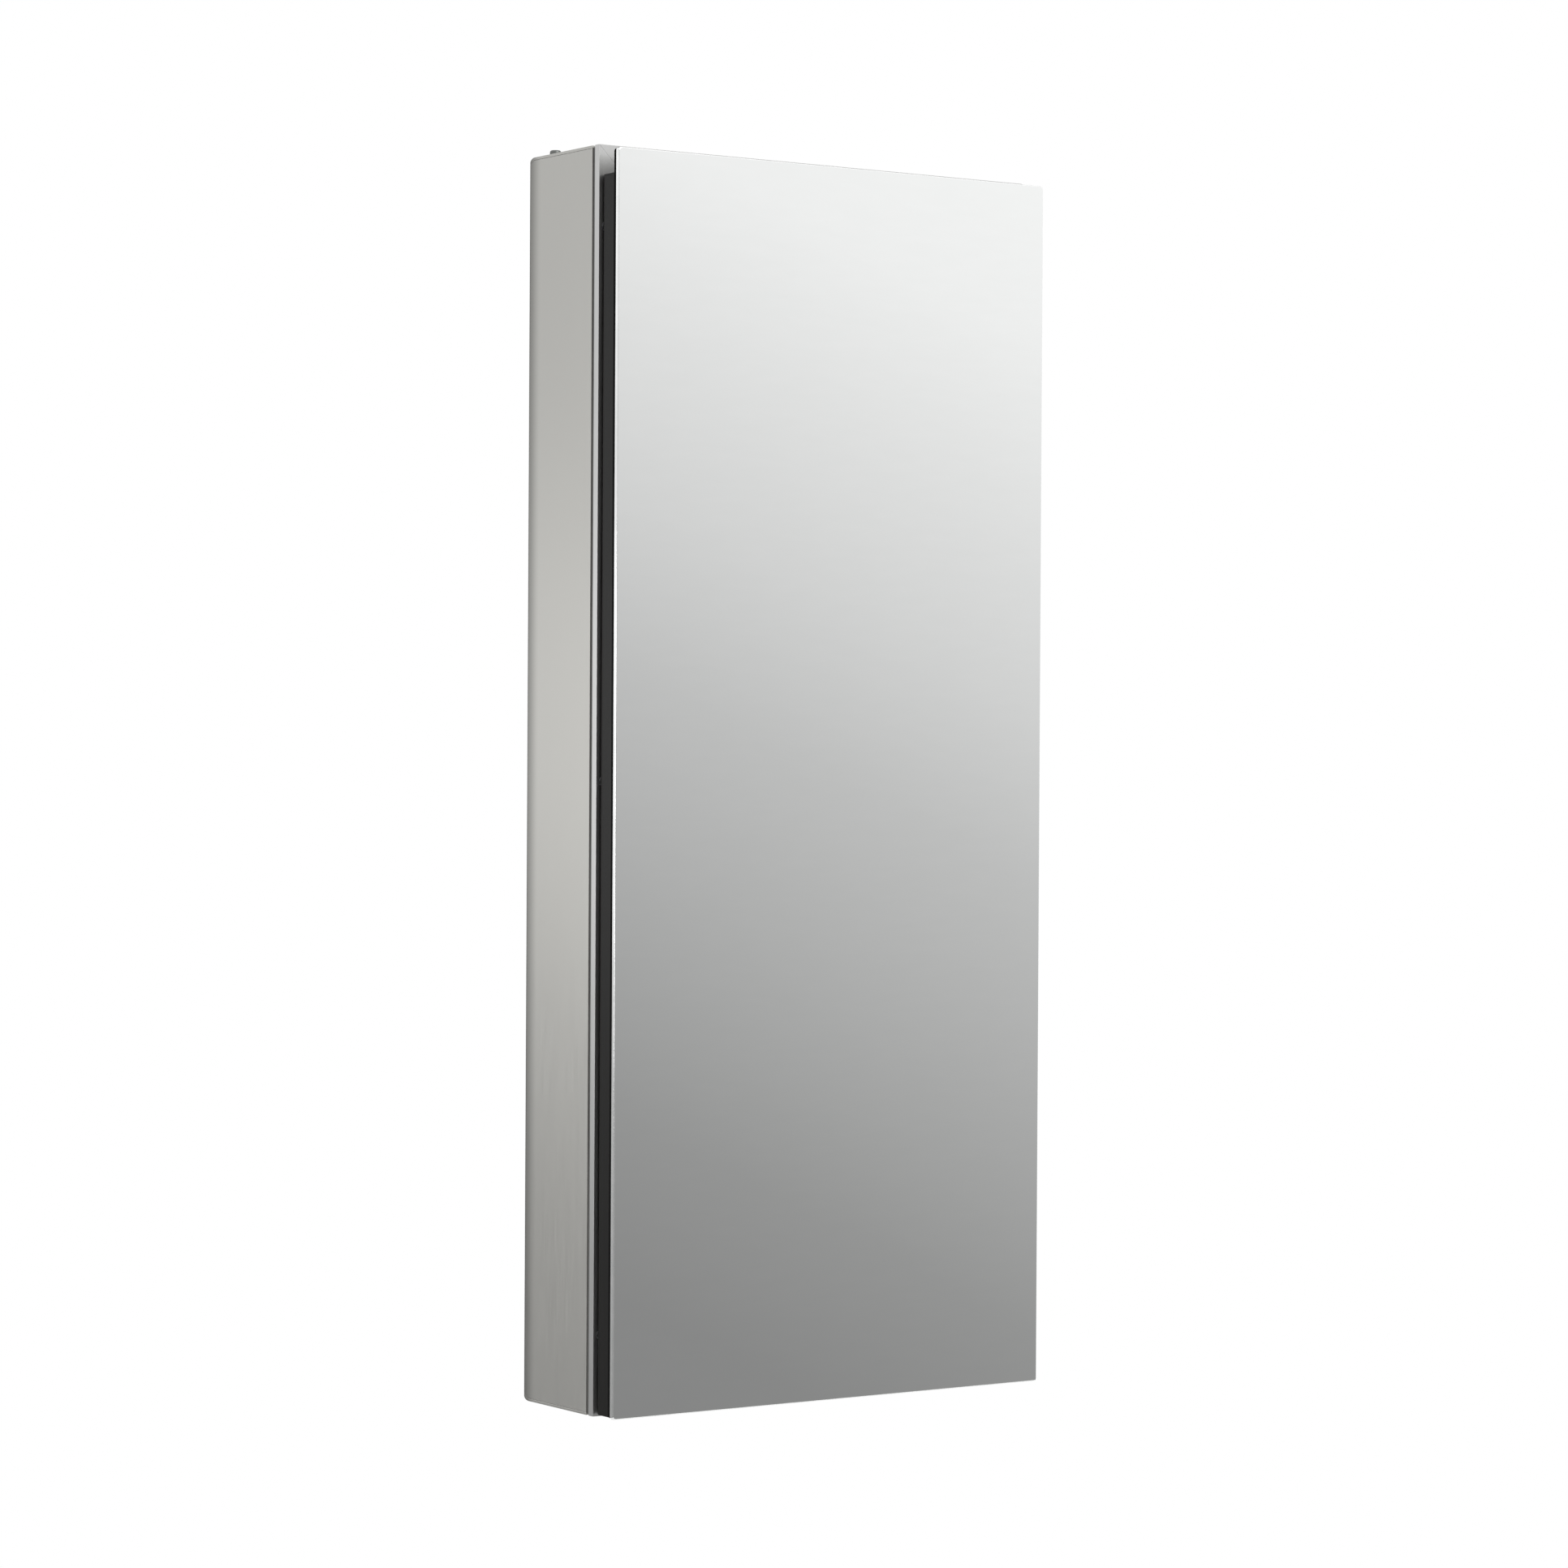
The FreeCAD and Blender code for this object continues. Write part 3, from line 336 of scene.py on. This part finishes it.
def metal(name, colour, roughness, grains, variation, relief, painted_rear_shade=0):
    """Metal with a grain: fine marks, a slow change of tone, and brighter rubbed edges.

    The last argument is a painted shade: how much darker the colour is painted towards a bend into the
    wall plane.
    """
    finish = Finish(name, Metallic=1.0)
    fine = finish.noise(grains, 4.0, 0.6)
    slow = finish.noise(METAL_DRIFT_GRAINS, 2.0)
    marks = finish.clouded(fine, colour, variation)
    drift = finish.clouded(slow, colour, variation / 2)
    surface = finish.mixed(METAL_DRIFT_SHARE, marks, drift)
    surface = finish.mixed(finish.worn(slow), surface, shaded(colour, METAL_WEAR))
    # painted shade: the colour is darkened towards the bend into the wall plane
    if painted_rear_shade:
        rear = finish.painted_shade_towards_rear(PAINTED_REAR_SHADE_DEPTH)
        surface = finish.mixed(rear, surface, shaded(colour, -painted_rear_shade))
    finish.colour(surface)
    finish.uneven(fine, roughness, METAL_ROUGHNESS_SHARE)
    finish.bump(fine, relief)
    return finish.material


COAT_DRIFT_GRAINS = (60, 60, 60)
COAT_ROUGHNESS_SHARE = 0.12


def coated(name, colour, roughness, wear, peel, variation, relief, **constants):
    """Paint, plastic or rubber: a pebbled skin, a slow change of tone, and worn edges.

    peel is how many millimetres apart the pebbles are, and wear is the colour of the edges.
    """
    finish = Finish(name, **constants)
    skin = finish.noise((peel, peel, peel), 2.0)
    slow = finish.noise(COAT_DRIFT_GRAINS, 3.0)
    finish.colour(finish.mixed(finish.worn(slow), finish.clouded(slow, colour, variation), wear))
    finish.uneven(skin, roughness, COAT_ROUGHNESS_SHARE)
    finish.bump(skin, relief)
    return finish.material


WIPED_SILVER = (0.905, 0.915, 0.908)
CLEAR_SILVER = (0.915, 0.925, 0.918)


def mirror_face():
    """Silvered float glass, with the faint waves that rolling leaves and a trace of wiping."""
    finish = Finish("mirror_silver", Metallic=1.0, Coat_Weight=0.35, Coat_Roughness=0.01)
    waves = finish.noise((260, 260, 90), 1.0)
    wiped = finish.noise((30, 30, 8), 3.0)
    finish.colour(finish.mixed(finish.between(wiped, 0, 1), WIPED_SILVER, CLEAR_SILVER))
    finish.roughness(finish.between(wiped, 0.004, 0.018))
    finish.bump(waves, 0.02, 0.25)
    return finish.material


def glass_edge(name, colour, **constants):
    """The ground and polished edge of a sheet of glass."""
    finish = Finish(name, Coat_Weight=0.6, Coat_Roughness=0.03, IOR=1.52, **constants)
    ground = finish.noise((0.5, 0.5, 0.5), 2.0)
    streak = finish.noise((12, 12, 12), 2.0)
    finish.colour(finish.clouded(streak, colour, 0.06))
    finish.roughness(finish.between(ground, 0.10, 0.20))
    finish.bump(ground, 0.004, 0.5)
    return finish.material


def clear_glass(name, colour):
    """Clear float glass with faint smears."""
    finish = Finish(name, Transmission_Weight=1.0, IOR=1.52)
    smear = finish.noise((40, 12, 20), 3.0)
    finish.colour(finish.mixed(finish.between(smear, 0, 1), shaded(colour, -0.01), colour))
    finish.roughness(finish.between(smear, 0.0, 0.02, 0.45, 0.8))
    return finish.material


def fibre_board():
    """Pressed fibre board: fine fibres lying every way, with darker flecks."""
    finish = Finish("fibre_board")
    fibres = finish.noise((0.6, 0.6, 2.4), 5.0, 0.7)
    flecks = finish.noise((1.6, 1.6, 1.6), 2.0)
    base = finish.mixed(finish.between(fibres, 0, 1), srgb(126, 96, 66), srgb(160, 126, 90))
    finish.colour(finish.mixed(finish.between(flecks, 0, 0.6, 0.62, 0.75), base, srgb(84, 60, 40)))
    finish.roughness(finish.between(fibres, 0.62, 0.85))
    finish.bump(fibres, 0.06)
    return finish.material


def pale_floor():
    finish = Finish("pale_floor")
    cloud = finish.noise((500, 500, 500), 3.0)
    finish.colour(finish.mixed(finish.between(cloud, 0, 1), (0.80, 0.80, 0.80), (0.84, 0.84, 0.84)))
    finish.roughness(finish.between(cloud, 0.7, 0.8))
    return finish.material


UPRIGHT_GRAIN = (0.35, 0.35, 40)
DEEP_GRAIN = (0.35, 40, 0.35)
TUMBLED_GRAIN = (0.6, 0.6, 0.6)
ANODISED = (0.550, 0.545, 0.520)

# both anodised finishes are painted darker towards their rear bends, a painted shade
KIT = metal("satin_anodised", ANODISED, 0.42, UPRIGHT_GRAIN, 0.03, 0.002, painted_rear_shade=0.55)
KIT_CAPS = metal("satin_anodised_caps", ANODISED, 0.42, DEEP_GRAIN, 0.03, 0.002, painted_rear_shade=0.55)
CASE = metal("case_aluminium", (0.63, 0.63, 0.625), 0.36, UPRIGHT_GRAIN, 0.04, 0.003)
TRACK = metal("track_aluminium", (0.74, 0.745, 0.75), 0.32, UPRIGHT_GRAIN, 0.06, 0.004)
ZINC = metal("zinc_plated", (0.66, 0.67, 0.69), 0.30, TUMBLED_GRAIN, 0.10, 0.006)
STAINLESS = metal("stainless", (0.62, 0.61, 0.60), 0.26, TUMBLED_GRAIN, 0.07, 0.004)
# the panel screw heads are drawn in a dark steel colour
SCREW_STEEL = metal("dark_screws", (0.16, 0.165, 0.16), 0.34, TUMBLED_GRAIN, 0.08, 0.004)

MIRROR_PAINT = srgb(120, 122, 124)
MIRROR = mirror_face()
MIRROR_EDGE = glass_edge("mirror_edge", (0.97, 0.985, 0.975), Metallic=0.9)
MIRROR_BACK = coated("mirror_backing", MIRROR_PAINT, 0.55,
                     wear=shaded(MIRROR_PAINT, 0.35), peel=1.5, variation=0.12, relief=0.010)
SHELF_GLASS = clear_glass("shelf_glass", (0.97, 0.99, 0.98))
SHELF_EDGE = glass_edge("shelf_edge", srgb(140, 186, 168))

BLACK = coated("black_powder_coat", srgb(21, 20, 19), 0.38,
               wear=srgb(42, 40, 39), peel=0.8, variation=0.10, relief=0.012, Specular_IOR_Level=0.2)
RUBBER = coated("black_rubber", srgb(116, 116, 115), 0.58,
                wear=srgb(128, 128, 128), peel=0.5, variation=0.10, relief=0.010)
FOAM_BOARD = coated("black_foam_board", srgb(14, 14, 14), 0.9,
                    wear=srgb(20, 20, 20), peel=0.5, variation=0.10, relief=0.010,
                    Specular_IOR_Level=0.1)
FOIL = coated("board_foil", srgb(214, 214, 212), 0.35,
              wear=srgb(220, 220, 218), peel=1.2, variation=0.03, relief=0.004)
CLIP = coated("clip_plastic", srgb(222, 224, 224), 0.32,
              wear=srgb(236, 238, 238), peel=1.2, variation=0.03, relief=0.006)
NYLON = coated("white_nylon", srgb(226, 224, 216), 0.45,
               wear=srgb(238, 236, 230), peel=1.0, variation=0.03, relief=0.008)
CATCH = coated("catch_plastic", srgb(208, 206, 200), 0.48,
               wear=srgb(226, 224, 220), peel=0.7, variation=0.04, relief=0.012)
TAPE = coated("foam_tape", srgb(196, 196, 194), 0.85,
              wear=srgb(206, 206, 204), peel=0.35, variation=0.06, relief=0.05)
MAGNET = coated("ferrite_magnet", srgb(58, 56, 56), 0.5,
                wear=srgb(92, 90, 90), peel=0.4, variation=0.12, relief=0.02)
BUMPER = coated("clear_bumper", srgb(52, 53, 54), 0.18,
                wear=srgb(70, 71, 72), peel=2.0, variation=0.02, relief=0.004,
                Transmission_Weight=0.35, IOR=1.45)
BOARD = fibre_board()

# ---------------------------------------------------------------- how pieces are made

JOIN_DISTANCE = 0.002 * MM
FLAT_ANGLE = math.radians(0.6)
SHARP_ANGLE = math.radians(35)
ROUNDED_ANGLE = math.radians(30)
CORNER_SEGMENTS = 5
LENGTHWISE = 0.9      # how nearly an edge along a sheet's side points along X or Z


def add_piece(node, mesh, materials):
    """Puts a finished mesh in the scene as the piece that stands for a CAD node."""
    for material in materials:
        mesh.materials.append(material)
    mesh.shade_smooth()
    mesh.set_sharp_from_angle(angle=SHARP_ANGLE)
    piece = bpy.data.objects.new(node + "_detail", mesh)
    bpy.context.scene.collection.objects.link(piece)
    even = piece.modifiers.new("even_normals", "WEIGHTED_NORMAL")
    even.keep_sharp = True
    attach(piece, frame["nodes"][node]["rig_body"])
    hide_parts(node)
    return piece


def new_mesh(node, form):
    mesh = bpy.data.meshes.new(node + "_detail")
    form.to_mesh(mesh)
    form.free()
    return mesh


def solid_of(node):
    """A CAD node's mesh with its triangles joined up into faces."""
    form = bmesh.new()
    form.from_mesh(frame["nodes"][node].data)
    bmesh.ops.remove_doubles(form, verts=form.verts, dist=JOIN_DISTANCE)
    bmesh.ops.dissolve_limit(form, angle_limit=FLAT_ANGLE, verts=form.verts, edges=form.edges)
    return form


def round_edges(form, radius, segments):
    """Rounds the edges that turn by more than ROUNDED_ANGLE, and marks the new faces as worn."""
    mark = form.faces.layers.float.new("worn")
    sharp = [e for e in form.edges if len(e.link_faces) == 2 and e.calc_face_angle() > ROUNDED_ANGLE]
    made = bmesh.ops.bevel(
        form, geom=sharp, offset=radius * MM, segments=segments, profile=0.5, affect="EDGES",
        clamp_overlap=True,
    )
    for face in made["faces"]:
        face[mark] = 1.0


def round_corners(form, radius):
    """Rounds the corners of an upright sheet, as seen from the front."""
    corners = []
    for edge in form.edges:
        along = (edge.verts[1].co - edge.verts[0].co).normalized()
        if max(abs(along.x), abs(along.z)) < LENGTHWISE:
            corners.append(edge)
    bmesh.ops.bevel(
        form, geom=corners, offset=radius * MM, segments=CORNER_SEGMENTS, profile=0.5, affect="EDGES"
    )


def softened(node, materials, radius, segments=2, choose=None, corner=0):
    """A detailed copy of a CAD node with rounded edges, and rounder corners where corner is given.

    Radii are in millimetres. choose(face) says which material a face has.
    """
    form = solid_of(node)
    if corner:
        round_corners(form, corner)
    round_edges(form, radius, segments)
    if choose:
        for face in form.faces:
            face.material_index = choose(face)
    mesh = new_mesh(node, form)
    if "custom_normal" in mesh.attributes:
        mesh.attributes.remove(mesh.attributes["custom_normal"])
    return add_piece(node, mesh, materials)


FACING = 0.99      # how nearly a flat face's normal points along an axis


def silvered(facing):
    """Returns choose(face) for a mirror that looks along facing.

    It gives 0 for the mirror side, 1 for the ground edge and 2 for the painted back.
    """

    def choose(face):
        along = face.normal.dot(facing)
        if along > FACING:
            return 0
        return 2 if along < -FACING else 1

    return choose


def plate_or_edge(face):
    """0 for a shelf's flat faces and 1 for its polished edge."""
    return 0 if abs(face.normal.z) > FACING else 1


def foiled(face):
    """1 for the foil on a board's two sides and 0 for its dark edges."""
    return 1 if abs(face.normal.y) > FACING else 0


def islands(form):
    """The separate solids of a mesh, each a list of its vertices."""
    waiting, found = dict.fromkeys(form.verts), []      # a dict keeps their order, the same in each run
    while waiting:
        group, reached = [], [waiting.popitem()[0]]
        while reached:
            vertex = reached.pop()
            group.append(vertex)
            for edge in vertex.link_edges:
                other = edge.other_vert(vertex)
                if other in waiting:
                    del waiting[other]
                    reached.append(other)
        found.append(group)
    return found


def spans(vertices):
    """The lowest and highest place of some vertices along X, Y and Z."""
    return [(min(v.co[axis] for v in vertices), max(v.co[axis] for v in vertices)) for axis in range(3)]


def finished(node, material, form):
    """Puts a form built in place of a CAD node in the scene."""
    bmesh.ops.recalc_face_normals(form, faces=form.faces)
    return add_piece(node, new_mesh(node, form), (material,))


def standing(direction, place):
    """The matrix that stands a turned shape's +Z along a direction at a place."""
    return Matrix.Translation(place) @ direction.to_track_quat("Z", "Y").to_matrix().to_4x4()


LATHE_SIDES = 32


def lathe(form, profile, stand):
    """Turns a profile of (radius, height) about +Z and stands it in place. Returns its rings."""
    rings = []
    for radius, height in profile:
        steps = LATHE_SIDES if radius else 1
        angles = [2 * math.pi * step / LATHE_SIDES for step in range(steps)]
        ring = [(radius * math.cos(a), radius * math.sin(a), height) for a in angles]
        rings.append([form.verts.new(stand @ Vector(point)) for point in ring])
    for low, high in zip(rings, rings[1:]):
        for step in range(LATHE_SIDES):
            after = (step + 1) % LATHE_SIDES
            around = ((low, step), (low, after), (high, after), (high, step))
            corners = [ring[place % len(ring)] for ring, place in around]
            form.faces.new(list(dict.fromkeys(corners)))
    return rings


RIDGE_PITCH = 0.8 * MM
# a pan-head screw's proportions, as shares of its shank's radius (CORE) or its head's radius or height
CORE = 0.84
UNDERSIDE = 0.5
RIM_TALL = 0.35
DOME_START = 0.72
DOME_ANGLES = (20, 40, 60, 80)
DOME_TOP = 0.66
CROSS_ARM = 0.13
CROSS_REACH = 0.55
CROSS_DEPTH = 0.6
CROSS_TAPER = 0.7


def screw_profile(head, tall, shank, length):
    """Half of a screw's outline as (radius, height) points, from its tip up to the flat on its head."""
    ridges = round(length / RIDGE_PITCH)
    profile = [(0, -length)]
    for ridge in range(ridges):
        low = -length * (1 - ridge / ridges)
        profile += [(shank * CORE, low), (shank, low + length / ridges / 2)]
    profile.append((shank * CORE if ridges else head * UNDERSIDE, 0))
    profile += [(head, 0), (head, tall * RIM_TALL)]
    for angle in DOME_ANGLES:
        out = DOME_START + (1 - DOME_START) * math.cos(math.radians(angle))
        up = RIM_TALL + (1 - RIM_TALL) * math.sin(math.radians(angle))
        profile.append((head * out, tall * up))
    profile.append((head * DOME_TOP, tall))
    return profile


def cross_outline(head):
    wide, reach = head * CROSS_ARM, head * CROSS_REACH
    arm = [(reach, -wide), (reach, wide), (wide, wide)]
    outline = []
    for _ in range(4):
        outline += arm
        arm = [(-y, x) for x, y in arm]
    return outline


def screw(form, stand, head, tall, shank, length):
    """A pan-head screw with a cross recess: its head above height 0 and its ridged shank below."""
    rim = lathe(form, screw_profile(head, tall, shank, length), stand)[-1]
    outline = cross_outline(head)
    floor = [(x * CROSS_TAPER, y * CROSS_TAPER, tall - tall * CROSS_DEPTH) for x, y in outline]
    mouth = [form.verts.new(stand @ Vector((x, y, tall))) for x, y in outline]
    base = [form.verts.new(stand @ Vector(point)) for point in floor]
    form.faces.new(base)
    for step in range(len(outline)):
        after = (step + 1) % len(outline)
        form.faces.new((base[step], base[after], mouth[after], mouth[step]))
    edges = []
    for ring in (rim, mouth):
        for first, second in zip(ring, ring[1:] + ring[:1]):
            edges.append(form.edges.get((first, second)) or form.edges.new((first, second)))
    bmesh.ops.triangle_fill(form, use_beauty=True, edges=edges)


HEAD_SHARE = 0.9      # vertices beyond this share of the head's radius belong to the head


def screws(node, material, along, outward):
    """Screws in place of a node's plain ones.

    along is their axis, 0 to 2. Heads face away from the object's middle if outward, or towards it.
    """
    source, form = solid_of(node), bmesh.new()
    across = [axis for axis in range(3) if axis != along]
    for solid in islands(source):
        extent = spans(solid)
        place = Vector([(low + high) / 2 for low, high in extent])
        reach = {v: math.hypot(*(v.co[axis] - place[axis] for axis in across)) for v in solid}
        head = max(reach.values())
        head_levels = [v.co[along] for v in solid if reach[v] > HEAD_SHARE * head]
        shanks = [reach[v] for v in solid if reach[v] < HEAD_SHARE * head]
        way = math.copysign(1, place[along]) * (1 if outward else -1)
        seat, top = sorted((min(head_levels), max(head_levels)), key=lambda level: level * way)
        tip = min(extent[along], key=lambda level: level * way)
        place[along] = seat
        direction = Vector([way if axis == along else 0 for axis in range(3)])
        shank = min(shanks, default=0)
        screw(form, standing(direction, place), head, abs(top - seat), shank, abs(seat - tip))
    source.free()
    return finished(node, material, form)


CROWN_STEPS = 9


def domes(node, material):
    """Soft domed dots in place of a node's plain discs, standing towards -Y."""
    source, form = solid_of(node), bmesh.new()
    for solid in islands(source):
        (left, right), (front, rear), (low, high) = spans(solid)
        radius, tall = (right - left) / 2, rear - front
        angles = [math.radians(90 * step / CROWN_STEPS) for step in range(CROWN_STEPS)]
        crown = [(radius * math.cos(a), tall * math.sin(a)) for a in angles]
        foot = Vector(((left + right) / 2, rear, (low + high) / 2))
        lathe(form, [(0, 0), *crown, (0, tall)], standing(-Y, foot))
    source.free()
    return finished(node, material, form)


def squeezed_spring(node, material):
    """A coil spring with slightly rounded edges, on a mesh of its own."""
    spring = softened(node, (material,), 0.05, 1)
    low, high = spans(spring.data.vertices)[2]
    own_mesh(spring)


# ---------------------------------------------------------------- the scene

make_camera()
make_world()
make_lights()
make_floor(pale_floor())

MIRRORS = (MIRROR, MIRROR_EDGE, MIRROR_BACK)
DOOR_CORNER = 2.0

softened("front_mirror", MIRRORS, 0.25, choose=silvered(-Y), corner=DOOR_CORNER)
softened("back_mirror", MIRRORS, 0.4, choose=silvered(-Y))
softened("inner_door_mirror", MIRRORS, 0.4, choose=silvered(Y))
for level in ("lower", "middle", "upper"):
    softened(f"glass_shelf_{level}", (SHELF_GLASS, SHELF_EDGE), 1.0, 3, plate_or_edge)
    softened(f"shelf_clips_{level}", (CLIP,), 0.35)
for side in ("left", "right"):
    softened(f"side_panel_{side}", (KIT,), 0.25)
    softened(f"panel_brackets_{side}", (ZINC,), 0.25)
    softened(f"case_wall_{side}", (CASE,), 0.15)
    softened(f"door_stile_{side}", (BLACK,), 0.3)
    softened(f"shelf_track_{side}_front", (TRACK,), 0.15)
    softened(f"shelf_track_{side}_rear", (TRACK,), 0.15)
for end in ("bottom", "top"):
    softened(f"{end}_panel", (KIT_CAPS,), 0.25)
    softened(f"case_wall_{end}", (CASE,), 0.15)
    softened(f"door_rail_{end}", (BLACK,), 0.3)
    softened(f"pivot_bracket_{end}", (ZINC,), 0.3)
    softened(f"pivot_bush_{end}", (NYLON,), 0.25)
    softened(f"{end}_pivot_pin", (STAINLESS,), 0.25)
softened("back_panel", (CASE,), 0.25)
softened("groove_gasket", (RUBBER,), 0.4)
softened("corner_keys", (ZINC,), 0.2)
softened("corner_blocks", (ZINC,), 0.4)
screws("panel_screws", SCREW_STEEL, along=2, outward=True)
screws("bracket_screws", STAINLESS, along=2, outward=False)
screws("door_screws", STAINLESS, along=2, outward=True)
screws("track_screws", STAINLESS, along=0, outward=False)
softened("pin_barrel", (ZINC,), 0.3)
squeezed_spring("pivot_spring", STAINLESS)
softened("door_core_board", (BOARD,), 0.3)
softened("mounting_tape", (TAPE,), 0.2)
softened("mirror_backing", (FOAM_BOARD, FOIL), 0.2, choose=foiled, corner=DOOR_CORNER)
softened("stile_plug", (FOAM_BOARD,), 0.4)
domes("door_bumpers", BUMPER)
softened("catch_housing", (CATCH,), 0.5, 3)
softened("catch_magnet", (MAGNET,), 0.2)
softened("catch_pole_lower", (ZINC,), 0.15)
softened("catch_pole_upper", (ZINC,), 0.15)
softened("strike_plate", (ZINC,), 0.2)

bpy.context.scene.view_settings.view_transform = "Standard"
